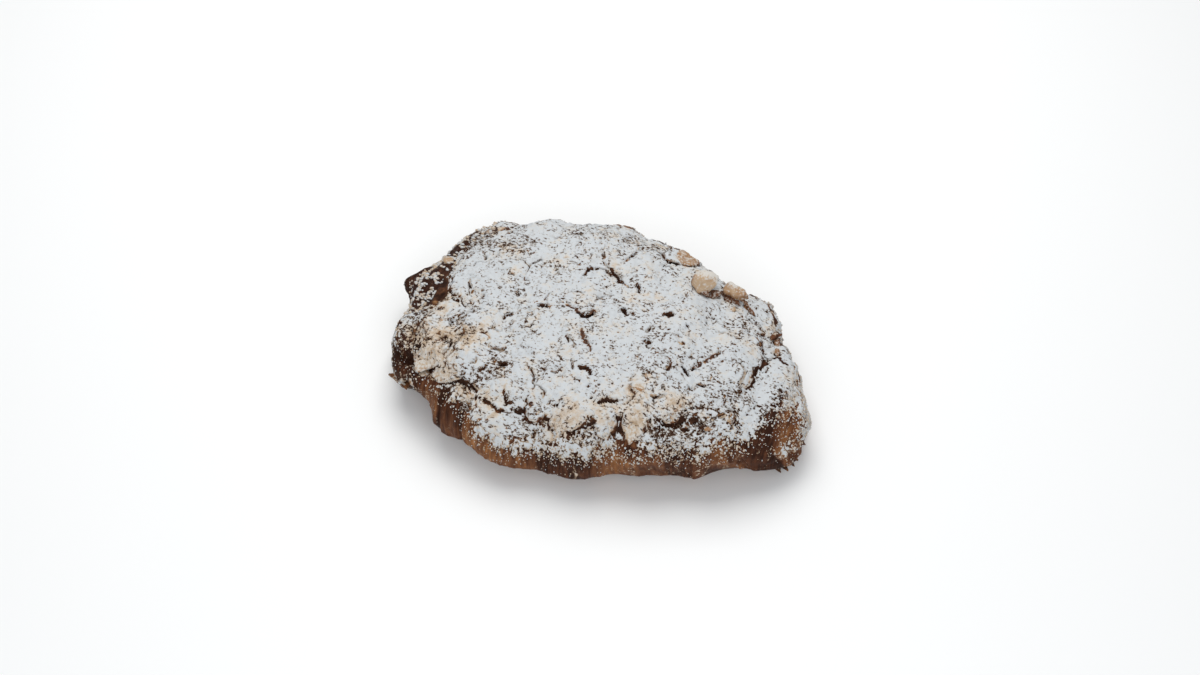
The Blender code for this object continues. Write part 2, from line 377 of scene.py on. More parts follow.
flaked_almond, tree, shader, place = new_finish("flaked_almond", 0.6, 0.15)
blotches = lumpy(tree, place, 3.0, Detail=3)
toast_and_shade = add_node(tree, "Attribute", {}, "Fac", attribute_name="toast_and_shade")
toast_and_shade = add_node(tree, "Math", {0: toast_and_shade, 1: centred(tree, blotches, 0.7)}, operation="ADD", use_clamp=True)
browned_and_shaded = add_node(tree, "ValToRGB", {"Fac": toast_and_shade}, stops=ALMOND_STOPS)
powder = lumpy(tree, place, 1.0, Detail=5, Roughness=0.65)
dusted = add_node(tree, "Attribute", {}, "Fac", attribute_name="dusted")
powder = add_node(tree, "Math", {0: powder, 1: centred(tree, dusted, 0.4)}, operation="ADD")
white = {"Fac": sharpened(tree, powder, 0.5, 6), "Color2": linear(DUSTED_WHITE)}
tree.links.new(add_node(tree, "MixRGB", {"Color1": browned_and_shaded, **white}), shader.inputs["Base Color"])
pores = lumpy(tree, place, 0.4, Detail=2)
relief = add_node(tree, "Bump", {"Height": pores, "Distance": 0.08 * MM, "Strength": 1})
tree.links.new(relief, shader.inputs["Normal"])

# %% [markdown]
# **Icing sugar.** A fine white powder. Where it is thick it is a cool white; where it is thin, butter
# soaks into it and the toasted almond shows through as a warm beige. It lies in crumbs, and between the
# crumbs are countless pinholes, under a millimetre wide, down to the brown crust. The holes that are wide
# enough are cut in the mesh; the finest are drawn here, each with a beige lip, as dense as the mesh
# stores.

# %% Icing sugar: thick and thin
SUGAR_STOPS = [(0.15, SUGAR_WHITE), (0.42, "#C9C6C1"), (0.66, SUGAR_WARM), (1.0, SUGAR_TAN)]

icing_sugar, tree, shader, place = new_finish("icing_sugar", 0.9, 0.12)
patches = lumpy(tree, place, 1.7, (1.2, 1, 1), Detail=5, Roughness=0.7)
thin = add_node(tree, "Attribute", {}, "Fac", attribute_name="thin")
thin = add_node(tree, "Math", {0: thin, 1: centred(tree, patches, 1.9)}, operation="ADD", use_clamp=True)
whiteness = add_node(tree, "ValToRGB", {"Fac": thin}, stops=SUGAR_STOPS)

# %% Icing sugar: pinholes, and the folds between crumbs that have none
HOLE_LIP, HOLE_FLOOR = "#A18A74", "#402A1E"

pinholes = lumpy(tree, place, 0.85, (1.5, 1, 1), Detail=5, Roughness=0.7)
folds = lumpy(tree, place, 3.2, (1.3, 1, 1), Detail=4, Roughness=0.6)
folds = add_node(tree, "Math", {0: centred(tree, folds, 0.9)}, operation="ABSOLUTE")
cover = add_node(tree, "Math", {0: pinholes, 1: folds}, operation="ADD")
holes = add_node(tree, "Attribute", {}, "Fac", attribute_name="holes")
edge = add_node(tree, "Math", {0: holes, 1: 0.2, 2: 0.362}, operation="MULTIPLY_ADD")
gap = add_node(tree, "Math", {0: edge, 1: cover}, operation="SUBTRACT")
lip, floor = sharpened(tree, gap, -0.035, 20), sharpened(tree, gap, 0.01, 50)
colour = add_node(tree, "MixRGB", {"Fac": lip, "Color1": whiteness, "Color2": linear(HOLE_LIP)})
colour = add_node(tree, "MixRGB", {"Fac": floor, "Color1": colour, "Color2": linear(HOLE_FLOOR)})
tree.links.new(colour, shader.inputs["Base Color"])

# %% Icing sugar: its fine crumbs
crumbs = lumpy(tree, place, 0.6, Detail=3)
crumbs = add_node(tree, "Math", {0: crumbs, 1: sharpened(tree, gap, 0, 20)}, operation="SUBTRACT")
relief = add_node(tree, "Bump", {"Height": crumbs, "Distance": 0.25 * MM, "Strength": 1})
tree.links.new(relief, shader.inputs["Normal"])
print("four finishes:", ", ".join(m.name for m in (baked_crust, almond_cream, flaked_almond, icing_sugar)))

# %% [markdown]
# **Painted table.** Off-white satin paint. Paint this smooth shows no grain at this distance, so one
# colour and a roughness are enough.

# %% Table top
painted_table, tree, shader, place = new_finish("painted_table", 0.6, 0.3)
shader.inputs["Base Color"].default_value = linear("#F2F2F1")
table_top.data.materials.append(painted_table)

# %% [markdown]
# ## The baked dough
# The roll is one solid, browned all over. It could be carved by subdividing the solid model, but its
# faces are long and thin, and the flaky lines need points close together along the roll. So a spindle of
# fine rings is laid inside the model, and a Shrinkwrap modifier blows it up until it meets the model's
# smoothed surface.

# %% A smooth copy of the roll, as the form to blow up against
SAME_PLACE = 0.01 * MM  # points closer than this are one point
FLAT_ENOUGH = math.radians(60)
roll_form = duplicate(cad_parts["croissant"], "roll_form")
edit_all(roll_form, bpy.ops.mesh.remove_doubles, threshold=SAME_PLACE)
quads = {"face_threshold": FLAT_ENOUGH, "shape_threshold": FLAT_ENOUGH}
edit_all(roll_form, bpy.ops.mesh.tris_convert_to_quads, **quads)
smoother = roll_form.modifiers.new("smoother", "SUBSURF")
smoother.levels = smoother.render_levels = 2
apply_all(roll_form)
print("the form has", len(roll_form.data.polygons), "faces")

# %% The spindle, its poles on the roll's ends
RINGS, SIDES = 560, 170
SPINDLE = 0.6  # the spindle's share of the model's box
roll_low, roll_high = (np.array(corner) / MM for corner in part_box("croissant"))
bpy.ops.mesh.primitive_uv_sphere_add(segments=SIDES, ring_count=RINGS, radius=1)
dough = named("baked_dough")
ball = points_of(dough) * MM
around = np.arctan2(ball[:, 1], ball[:, 0])
around -= 0.3 * np.sin(2 * around)  # brings the lines closer together on the front and back
girth = np.hypot(ball[:, 0], ball[:, 1])
half = (roll_high - roll_low) / 2 * SPINDLE
middle = (roll_high + roll_low) / 2
lying = np.column_stack([ball[:, 2], -girth * np.cos(around), girth * np.sin(around)])
set_points(dough, middle + half * lying)
edit_all(dough, bpy.ops.mesh.normals_make_consistent, inside=False)
blow_up = dough.modifiers.new("blow_up", "SHRINKWRAP")
blow_up.target = roll_form
blow_up.wrap_method = "PROJECT"
blow_up.use_negative_direction = False
blow_up.use_positive_direction = True
apply_all(dough)
print("the dough spans", points_of(dough).min(0).round(1), points_of(dough).max(0).round(1), "mm")

# %% [markdown]
# The laps of the roll each browned in their own way. Grooves between them run down the front and back, a
# little slanted. The thin layers show as fine ridges down each lap, and as ledges one above the other at
# the two ends, where the roll was cut. Folding real sheets of dough would cost millions of faces; a
# relief pressed into one skin looks the same from outside. First come the facts of this croissant, along
# its length.

# %% Grooves, browning, dust and the edge of the sugar
LAP_GROOVES = np.array([-79.5, -62.5, -45, -35, -3, 15, 41, 58.5, 60.3, 71.3, 75.5])  # mm along the laps
GROOVE_DEPTHS = np.array([0.6, 0.8, 0.9, 1.2, 0.3, 0.7, 0.3, 1.2, 1.3, 0.7, 0.5])  # mm
GROOVE_SLANT = 2.5  # mm that the grooves lean towards the middle at the very back
BROWNING = [  # a place along the laps in mm, and how brown the crust is there: 1 is the darkest
    (-84, 0.9), (-72, 1.0), (-58, 0.95), (-53, 0.6), (-47, 0.55), (-45, 0.75), (-36, 0.75), (-34.5, 0.5),
    (-28, 0.32), (-16, 0.4), (-10, 0.6), (-4, 0.8), (1, 0.93), (13, 0.95), (15.4, 0.6), (18, 0.52),
    (28, 0.52), (37, 0.6), (43, 0.77), (49, 0.84), (53, 0.6), (57, 0.44), (61, 0.6), (63.5, 0.9),
    (70.5, 0.95), (71.8, 0.65), (74, 0.45), (79, 0.6),
]
DUSTING = [  # a place along the laps in mm, and how many specks of sugar cling there
    (-84, 0.75), (-66, 0.7), (-50, 0.7), (-45, 0.3), (-43, 0.0), (-36, 0.05), (-33, 0.35), (-20, 0.25),
    (-6, 0.1), (4, 0.25), (13, 0.5), (16, 0.35), (40, 0.5), (48, 0.4), (60, 0.55), (64, 0.1), (70, 0.15),
    (72, 0.8), (84, 0.85),
]
LOWEST = [  # a place on X, and the height of the lower edge of the icing sugar at the front, both in mm
    (-84, 20), (-60, 24), (-48, 27), (-40, 25.5), (-27, 20), (-13, 16), (-2, 18), (8, 20.5), (19, 21.5),
    (26, 20.5), (33, 22.5), (42, 23), (53, 23), (58, 25), (61, 24), (66, 22.5), (71, 26), (76, 27),
    (80, 23), (84, 15),
]
LOWEST_BEHIND = 14  # the same height all along the back
BARE = [  # two places that sugar missed: X, Y and Z in mm, how much less dust, and the reach in mm
    (26, -43, 21, 1.2, 8), (74, -20, 24, 0.6, 8),
]
# The pocket is a real gap in the dough, and its crust is also painted darker as shade.
POCKET = np.array([(-74, -30.5, 18.5), (-55, -37, 25.5)])  # the two ends of a dark gap between two layers
print(len(LAP_GROOVES), "grooves part the laps")


# %% Finding a place on the croissant
def lower_edge(rows):
    """The height of the lower edge of the sugar at each point, in mm."""
    in_front = np.interp(rows[:, 0], *zip(*LOWEST))
    return in_front + (LOWEST_BEHIND - in_front) * ease(-16, 18, rows[:, 1])


def along_laps(rows):
    """Places along the roll, straightened so that each groove is at one number."""
    x, y, z = rows.T
    slant = np.sign(x) * GROOVE_SLANT * np.maximum(0, y / roll_high[1])
    fan = 0.35 * ease(50, 58, x) * (28 - z) * ease(10, -10, y)
    return x + slant - fan + grain(rows, (9, 9, 20), 5) * 0.6


def in_pocket(rows):
    """The dark pocket between two layers at the left end: 1 along its middle, 0 outside."""
    run = POCKET[1] - POCKET[0]
    share = np.clip((rows - POCKET[0]) @ run / (run @ run), 0, 1)
    away = np.linalg.norm((rows - POCKET[0] - share[:, None] * run) * (1, 0.8, 1), axis=1) / 3.8
    return 0.5 + 0.5 * np.cos(np.pi * np.clip(away + 0.15 * grain(rows, 3, 63), 0, 1))


def dark_corner(rows):
    """1 on the dark, hardly sugared crust at the left end behind the flakes, 0 elsewhere."""
    behind = ease(-18, -6, rows[:, 1] + grain(rows, 5, 66) * 6)
    return ease(-58, -66, rows[:, 0] + 0.25 * rows[:, 1]) * behind


# %% Press the relief into the dough
def flaky(rows, facing_up):
    """The dough's relief in mm."""
    along = along_laps(rows)
    away = along[:, None] - LAP_GROOVES
    line = np.column_stack([along, rows[:, 1], rows[:, 2]])
    ends = ease(62, 78, np.abs(rows[:, 0])) * np.where(rows[:, 0] > 0, 0.6, 1)
    ridges = grain(line, (1.3, 22, 14), 1) * 0.25 + grain(line, (0.75, 12, 8), 2) * 0.16
    ledges = np.abs(grain(line, (3.4, 30, 20), 3)) * 0.5
    layers = grain(rows, (14, 14, 1.5), 7) * 0.6 + grain(rows, (9, 9, 0.8), 10) * 0.3
    lumps = grain(rows, 9, 4) * 0.6
    blisters = np.maximum(0, grain(rows, 3.2, 6) - 0.35) * 0.6
    groove = (-GROOVE_DEPTHS * np.exp(-((away / 0.7) ** 2))).sum(axis=1)
    groove += (0.35 * GROOVE_DEPTHS * np.exp(-(((np.abs(away) - 2.2) / 1.2) ** 2))).sum(axis=1)
    left_end = -4.5 * in_pocket(rows) + 1.5 * bump(rows, (-66, -38, 10), 7)
    left_end += 1.0 * bump(rows, (-72, -28, 24), 7)
    right_end = -2.0 * bump(rows, (78, 11, 9), 7) - 2.8 * bump(rows, (67.5, 24, 17), 7)
    right_end += 0.8 * bump(rows, (83, -5, 13), 8)
    overall = lumps + blisters + groove * ease(0.75, 0.35, facing_up)
    return overall + left_end + right_end + (ridges + ledges) * (1 - ends) + layers * ends


rows = points_of(dough)
facing_up = normals_of(dough)[:, 2]
side = ease(-0.55, -0.25, facing_up)  # the flat underside stays flat
rows = rows + normals_of(dough) * (flaky(rows, facing_up) * side)[:, None]
rows[:, 2] = np.maximum(rows[:, 2], grain(rows, 2.5, 8) * 0.12 * (1 - side) + 0.12)
set_points(dough, rows)

# %% [markdown]
# How brown and how dusty each part is could be painted on a picture, but the mesh has enough points to
# carry it: one number at each point, which the material reads. The number for brownness also carries
# painted shade.

# %% How brown and how dusty each part is
rows = points_of(dough)
along = along_laps(rows)
from_groove = np.abs(along[:, None] - LAP_GROOVES).min(axis=1)
# Painted shade: the grooves between the laps are darkened.
bake_and_shade = np.interp(along, *zip(*BROWNING)) + 0.25 * np.exp(-((from_groove / 0.7) ** 2))
# Painted shade: the lowest 4 mm, next to the table, is darkened a little.
bake_and_shade += grain(rows, 9, 9) * 0.14 + grain(rows, (1.6, 9, 12), 19) * 0.12 + 0.12 * ease(4, 0, rows[:, 2])
# Painted shade: the pocket at the left end is darkened strongly.
bake_and_shade += 0.3 * ease(22, 30, rows[:, 2]) + 0.6 * in_pocket(rows)
facing_up = normals_of(dough)[:, 2]
cover = ease(-2.5, 3, rows[:, 2] - lower_edge(rows) + grain(rows, (3, 3, 6), 34) * 2.5)
cover *= ease(0.85, 0.6, facing_up)
dust = np.interp(along, *zip(*DUSTING)) * (0.5 + 0.4 * grain(rows, 6, 33)) + 0.8 * cover
dust *= 1 - 0.95 * dark_corner(rows)
# Painted shade: the crust is darkened where the edge of the sugar covers it; the dark corner is crust that
# baked darker.
bake_and_shade += 0.5 * cover + 0.3 * dark_corner(rows)
for patch in BARE:
    dust -= patch[3] * bump(rows, patch[:3], patch[4])
dust -= in_pocket(rows)
on_ledges = 0.4 * grain(rows, (14, 14, 1.5), 7)  # dust lies on the ledges of the left end
dust += on_ledges * ease(-60, -70, rows[:, 0]) * (1 - dark_corner(rows))
below = ease(-0.3, -0.8, facing_up)  # the underside, even and free of sugar
bake_and_shade += (0.5 + 0.2 * grain(rows, 12, 67) - bake_and_shade) * 0.8 * below
keep_numbers(dough, "bake_and_shade", np.clip(bake_and_shade, 0, 1))
keep_numbers(dough, "dust", np.clip(dust, 0, 1) * (1 - below))
dough.data.shade_smooth()
dough.data.materials.append(baked_crust)
print("the dough has", triangles(dough), "triangles")

# %% [markdown]
# ## The almond cream
# A spread of ground almonds, thin at its rim. The solid model gives its body; remeshing it into even
# little squares gives points to sculpt. The cream is pressed down to the dough at the rim, its underside
# is pushed into the dough, as it is baked on, and it is heaped up a little where a spoon left more of it.


# %% Finding what lies below a point
def surface_under(*pieces):
    """A search tree of all the faces of some pieces, for dropping things on to them."""
    corners, faces, start = [], [], 0
    for piece in pieces:
        corners += (points_of(piece) * MM).tolist()
        faces += [[start + i for i in face.vertices] for face in piece.data.polygons]
        start += len(piece.data.vertices)
    return BVHTree.FromPolygons(corners, faces)


def landing(tree, x, y):
    """Where something dropped at x, y in mm lands: its height in mm and how far the surface faces up."""
    hit, normal, _, _ = tree.ray_cast(Vector((x * MM, y * MM, 1)), Vector((0, 0, -1)))
    return (-1.0, 0.0) if hit is None else (hit.z / MM, normal.z)


def landings(tree, rows):
    """The heights and upward shares for many places."""
    return np.array([landing(tree, x, y) for x, y in rows[:, :2].tolist()]).T


def frame_of(node):
    """The middle of a solid, its three directions of spread as columns, and its size along them, in mm."""
    rows = points_of(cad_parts[node])
    directions = np.linalg.svd(rows - rows.mean(0), full_matrices=False)[2].T
    if directions[2, 2] < 0:
        directions[:, 2] *= -1
    directions[:, 1] = np.cross(directions[:, 2], directions[:, 0])
    spread = rows @ directions
    return (rows.max(0) + rows.min(0)) / 2, directions, spread.max(0) - spread.min(0)


flat_nodes = sorted(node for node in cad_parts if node.startswith("almond_flake"))
propped_nodes = sorted(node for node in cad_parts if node.startswith("almond_chunk"))
dough_top = surface_under(dough)
print(len(flat_nodes), "slices lie flat and", len(propped_nodes), "are propped up")

# %% [markdown]
# Where the cream split in the oven, cracks run down towards the dough, and their floors are painted dark
# brown as shade. Noise could split it anywhere, but these cracks have their places, so each is a short line
# of points, drawn on the croissant as seen from above.

# %% Where the cream split
CRACKS = [  # width in mm, then the points on X and Y in mm
    (2.4, [(-14, -1), (-12, -1.5), (-9, -2), (-6, -4), (-3.5, -3.5), (-2.5, -0.5), (-1, 0)]),
    (1.7, [(-23, -4), (-20, -4), (-17, -2.5)]),
    (0.9, [(-34, -13), (-32, -10), (-29, -8)]),
    (1.6, [(-26, -8), (-23, -9)]),
    (2.6, [(-4, -10), (-2, -13), (0, -15.5), (3, -18)]),
    (1.3, [(0, -26), (3, -25), (6, -27)]),
    (1.8, [(7, 3.5), (10, 1.8), (12, 3)]),
    (1.8, [(23, 7), (26, 7)]),
    (1.3, [(30, -4), (34, -4)]),
    (1.0, [(19, -7), (22, -7)]),
    (1.2, [(-9, 27), (-6, 23), (-2, 21.5), (1, 18), (6, 15.5)]),
    (1.1, [(-12, 12), (-11, 18), (-7, 20.5), (-3, 20)]),
    (1.5, [(-1, 28), (1, 33), (2.5, 36)]),
    (1.4, [(39, -11), (41, -7), (44, -4), (46, 1)]),
    (1.3, [(60, -7), (60, -2), (61.5, 3), (63.4, 8.4), (65.3, 11)]),
    (2.2, [(64, 10.5), (66, 11), (69, 9.5), (71, 9)]),
    (0.9, [(57.5, -20), (58.5, -24), (60.5, -27.5)]),
    (0.8, [(59.3, -18), (60.3, -21.5), (62.5, -25.5)]),
    (0.9, [(50, 22), (57, 21), (62, 17)]),
    (0.9, [(36, -12), (40, -14)]),
    (1.3, [(24, -22), (27, -23)]),
    (1.4, [(-27, -33), (-24, -32)]),
    (1.3, [(-12, -43), (-9, -44)]),
    (1.5, [(0, -49.3), (5, -49.4), (9, -46.4), (14, -42.5)]),
    (1.5, [(16.6, -46.2), (22.4, -43.5), (27, -42.5)]),
    (1.6, [(-7.5, -45.5), (-5.8, -46.6), (-3.3, -47.3)]),
    (2.4, [(-8.7, -51.4), (-6.4, -51.5), (-4.1, -50.5)]),
    (1.6, [(37, -31), (39.4, -32.6), (41.7, -31.6), (43.8, -29)]),
    (1.3, [(31.7, -35.6), (31, -38.9), (30.8, -41.6)]),
    (0.9, [(8.3, 18.2), (10.5, 14.1)]),
    (1.2, [(-54, -28), (-51, -27.5)]),
    (1.0, [(-58, -7), (-53, -8)]),
    (1.2, [(-51, 1), (-49.5, 2)]),
    (1.2, [(-38, -22), (-34, -22)]),
]


def in_crack(rows):
    """How deep each point is in a crack, seen from above: 1 in its middle, 0 at its lip, less outside."""
    wobble = rows[:, :2] + np.column_stack([grain(rows, 2.2, 31), grain(rows, 2.2, 32)]) * 0.7
    wobble = wobble + np.column_stack([grain(rows, 0.9, 37), grain(rows, 0.9, 38)]) * 0.35
    deepest = np.full(len(rows), -9.0)
    for width, line in CRACKS:
        total = len(line) - 1
        for number, (start, end) in enumerate(zip(line, line[1:])):
            start, end = np.array(start, float), np.array(end, float)
            run = end - start
            share = np.clip((wobble - start) @ run / (run @ run), 0, 1)
            away = np.linalg.norm(wobble - start - share[:, None] * run, axis=1)
            taper = np.sin(np.pi * (0.12 + 0.76 * (number + share) / total))  # cracks close at their ends
            deepest = np.maximum(deepest, 1 - away / (width * 0.33 * taper))
    return deepest


# %% Remesh the cream
SQUARE = 0.62  # mm
cream = duplicate(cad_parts["almond_cream"], "crumbly_cream")
edit_all(cream, bpy.ops.mesh.remove_doubles, threshold=SAME_PLACE)
squares = cream.modifiers.new("squares", "REMESH")
squares.mode = "VOXEL"
squares.voxel_size = SQUARE * MM
apply_all(cream)
print("the cream is remeshed into", len(cream.data.polygons), "squares")

# %% Press its rim down to the dough
rows = points_of(cream)
topside = ease(-0.2, 0.4, normals_of(cream)[:, 2])
heading = np.round(np.degrees(np.arctan2(rows[:, 1], rows[:, 0])) / 3).astype(int) + 60
reach = np.hypot(rows[:, 0], rows[:, 1])
rim = np.zeros(heading.max() + 1)
np.maximum.at(rim, heading, reach)
from_rim = rim[heading] - reach
dough_below = landings(dough_top, rows)[0]
standing = np.maximum(0, rows[:, 2] - dough_below - 0.6)
rows[:, 2] -= topside * standing * (1 - ease(0, 7, from_rim + grain(rows, 7, 15) * 2))
print("the rim lies", rim[rim > 0].min().round(1), "to", rim.max().round(1), "mm from the middle")

# %% Heap it up here and there, and crumble it
def spots(rows, places):
    """The sum of round, soft-edged spots at each point: each a place, its reach in mm and its amount."""
    return sum(amount * bump(rows, (x, y), reach) for x, y, reach, amount in places)


HEAPS = [  # X, Y, reach and rise, all in mm
    (-56, -31, 7, 1.8), (-47, -37, 7, 1.5), (-43, -30, 6, 1.0), (-61, -19, 6, 0.8), (2, -44, 7, 0.8),
    (-9, -42, 6, 0.8), (27, -37, 7, 0.9), (38, -26, 6, 0.9), (-3, -14, 7, 0.5), (-7, 4, 9, 0.8),
    (31, 36, 8, 2.4), (41, 34, 8, 2.8), (50, 31, 7, 1.6), (31, 12, 9, 0.6), (-35, 10, 9, 0.6),
    (12, 25, 9, 0.6), (-20, -25, 9, 0.6),
]
rows[:, 2] += topside * spots(rows, HEAPS)
crumbs = grain(rows, 3.6, 11) * 0.5 + grain(rows, 1.5, 12) * 0.3 - np.abs(grain(rows, 6, 13)) * 0.6 + 0.1
crumbs -= 1.4 * ease(-0.6, 0.5, in_crack(rows))
broken = 0.2 + ease(-24, -36, rows[:, 1]) + ease(-38, -50, rows[:, 0]) + 0.2 * ease(40, 55, rows[:, 0])
broken = np.clip(broken, 0, 1)
broken *= 1 - 0.9 * bump(rows, (-18, -46), 14)
for size, seed in ((7.5, 71), (5.5, 72)):  # low steps, where one crumb of cream lies against another
    crumbs += 0.55 * broken * (ease(-0.05, 0.05, grain(rows, size, seed)) - 0.5)
rows[:, 2] += crumbs * topside - 1.2 * (1 - topside) - 6 * in_pocket(rows)
rows[:, 2] -= 3 * ease(-64, -67, rows[:, 0] - rows[:, 1] * 0.15) * ease(-14, -10, rows[:, 1])
set_points(cream, rows)
# Painted shade: the deeper a hollow or crack lies, the darker the cream; the dark corner and the steep rim
# are toasted.
hollow_shade_and_toast = 0.6 - np.clip(crumbs, -1.5, 1) * 0.5 + grain(rows, 12, 14) * 0.2
hollow_shade_and_toast += 0.7 * dark_corner(rows) + 0.5 * ease(0.8, 0.4, normals_of(cream)[:, 2])
keep_numbers(cream, "toast_and_shade", np.clip(hollow_shade_and_toast + 0.5 * (1 - topside), 0, 1))
cream.data.materials.clear()
cream.data.materials.append(almond_cream)
cream.data.shade_smooth()
print("the cream has", triangles(cream), "triangles")

# %% [markdown]
# ## Flaked almonds
# A slice could be cut from a whole almond with a boolean, but the flat ball that it ends up as is simpler
# to start from: flat on both faces, round at the rim, and drawn to a soft point. Its copies are bent,
# nibbled at the rim and turned a little, each its own way.


# %% One slice of almond
def almond_slice(name, sides, rings):
    """A slice of length 1 on X, about 1 on Y and 1 thick, ready to be scaled."""
    bpy.ops.mesh.primitive_uv_sphere_add(segments=sides, ring_count=rings, radius=0.5)
    piece = named(name)
    rows = points_of(piece) * MM
    turn = np.arctan2(rows[:, 1], rows[:, 0])
    rows[:, 1] *= 0.45 + 0.65 * np.abs(np.sin(turn / 2))
    rows[:, 2] = np.sign(rows[:, 2]) * np.abs(rows[:, 2] * 2) ** 0.35 / 2
    set_points(piece, rows / MM)
    return piece


def bent_copy(master, size, dice, ragged=1.0):
    """The master's points scaled to a size in mm, with an uneven rim and a slight curl from the oven."""
    rows = points_of(master) * MM
    out = rows / np.maximum(np.linalg.norm(rows, axis=1), 1e-9)[:, None] * (1, 1, 0)
    seed = dice.randrange(1000)
    rows[:, :2] *= (1 + ragged * (0.17 * grain(out, 0.5, seed) + 0.09 * grain(out, 0.2, seed + 1)))[:, None]
    rows = rows * size
    curl = dice.uniform(-0.02, 0.03)
    rows[:, 2] += curl * rows[:, 0] ** 2 / 4 + dice.uniform(-0.03, 0.03) * rows[:, 0] * rows[:, 1] / 3
    rows[:, 2] += 0.15 * grain(rows, 2.6, seed + 2)
    return rows


def rim_toast_and_underside_shade(master, copies):
    """How toasted each point is: hardly on the face, brown at the rim, and darker underneath as painted
    shade.
    """
    rows = points_of(master) * MM
    browned_and_shaded = ease(0.36, 0.5, np.hypot(rows[:, 0], rows[:, 1])) * 0.6 + 0.5 * ease(0.3, -0.3, rows[:, 2])
    return np.tile(np.clip(browned_and_shaded, 0, 1), copies)


fine_slice = almond_slice("fine_slice", 48, 16)
plain_slice = almond_slice("plain_slice", 14, 5)
print("a fine slice has", triangles(fine_slice), "triangles, a plain one", triangles(plain_slice))

# %% [markdown]
# The solid model already holds the slices that show best. Each refined slice takes its place, size and
# turn from its solid: the middle of the solid's points, and the three directions in which they spread.

# %% Put a finer slice where each solid one is
SAMPLES = [(0, 0), (2, 0), (-2, 0), (0, 2), (0, -2)]


def draped(rows, middle, upright, tree, keep, sink):
    """Lower a slice towards what lies below it: it keeps a share of its own plane and sinks in a little."""
    plane = middle[2] - ((rows[:, :2] - middle[:2]) @ upright[:2]) / upright[2]
    below = np.mean([landings(tree, rows + (x, y, 0))[0] for x, y in SAMPLES], axis=0)
    return rows - np.outer(np.clip(plane - below, 0, 4) * (1 - keep) + sink, (0, 0, 1))


PROPPED = {  # a thick piece's turn on its face in degrees, shares of the solid, shift in mm, and toast
    "almond_chunk_01": (35, (0.85, 1.3, 1), (1.0, -0.6, -1.5), 0.0),
    "almond_chunk_02": (0, (1.0, 1.15, 1), (1.2, 0.9, -0.5), 0.2),
}
BULGE = 2.2  # mm that a thick piece's upper face is rounded up
STANDS_PROUD = "almond_flake_16"  # this one leans at the back, hardly sunk
dice = random.Random(7)
slices = {}
bed = surface_under(cream, dough)
for node in flat_nodes + propped_nodes:
    middle, directions, size = frame_of(node)
    piece = duplicate(fine_slice, node.replace("almond", "toasted"))
    toast_and_shade = rim_toast_and_underside_shade(fine_slice, 1)
    dusted = np.full(len(toast_and_shade), 0.3)
    if node in propped_nodes:  # a thick piece, its face rounded and lumpy
        turn, shares, shift, brown = PROPPED[node]
        rows = bent_copy(fine_slice, size * shares, dice, 0.4)
        round_face = 1 - np.clip(np.hypot(rows[:, 0] / size[0], rows[:, 1] / size[1]) * 1.7, 0, 1) ** 2
        rows[:, 2] += np.where(rows[:, 2] > 0, BULGE * round_face, 0)
        rows += np.column_stack([grain(rows, 4, seed) for seed in (61, 64, 65)]) * (0.8, 0.8, 0.5)
        rows = rows @ np.array(Matrix.Rotation(math.radians(turn), 3, "Z")).T
        rows = middle + rows @ directions.T + shift
        x, y, z = (rows - rows.mean(0)).T
        # Painted shade: a thick piece is darkened towards its lower left side and its foot.
        toast_and_shade = np.clip(brown + toast_and_shade * 0.3 + 0.8 * ease(-1.5, -4.5, z * 1.2 + x * 0.3), 0, 1)
        dusted = 0.25 + 0.75 * ease(0, 4, 0.6 * z + 0.8 * y)
    else:
        rows = middle + bent_copy(fine_slice, (size[0], size[1] * 1.15, size[2] * 0.9), dice) @ directions.T
        at_the_back = node == STANDS_PROUD
        keep, sink = (0.75, 0.4) if at_the_back else (0.3, 0.35)
        toast_and_shade, dusted = (toast_and_shade * 0.5 + 0.3, dusted + 0.1) if at_the_back else (toast_and_shade * 0.6, dusted + 0.25)
        rows = draped(rows, middle, directions[:, 2], bed, keep, sink)
        rows[:, 2] += 0.35 * grain(rows, 4, 62)
    cracked = ease(-0.6, 0.2, in_crack(rows))
    set_points(piece, rows)
    # Painted shade: in the cracks the slices are darkened.
    keep_numbers(piece, "toast_and_shade", np.maximum(toast_and_shade, cracked))
    keep_numbers(piece, "dusted", np.clip(dusted, 0, 1) * (1 - cracked))
    piece.data.materials.append(flaked_almond)
    piece.data.shade_smooth()
    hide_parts(node)
    slices[node] = piece
print(len(slices), "slices take their places from the solid model")


# %% [markdown]
# Most slices lie in the cream, with only an edge or a corner out of it. A particle system could scatter
# them, but it wouldn't keep clear of the cracks. So they are dropped one by one, turned at random and
# pressed in, and joined into one mesh.


# %% Scatter more slices in the cream
def joined(name, shapes, finish):
    """One mesh of many shapes, each a pair of points in mm and a master piece whose faces it copies."""
    corners = np.concatenate([rows for rows, master in shapes])
    faces, start = [], 0
    for rows, master in shapes:
        faces += [[start + i for i in face.vertices] for face in master.data.polygons]
        start += len(rows)
    mesh = bpy.data.meshes.new(name)
    mesh.from_pydata((corners * MM).tolist(), [], faces)
    mesh.shade_smooth()
    mesh.materials.append(finish)
    piece = bpy.data.objects.new(name, mesh)
    bpy.context.scene.collection.objects.link(piece)
    return piece


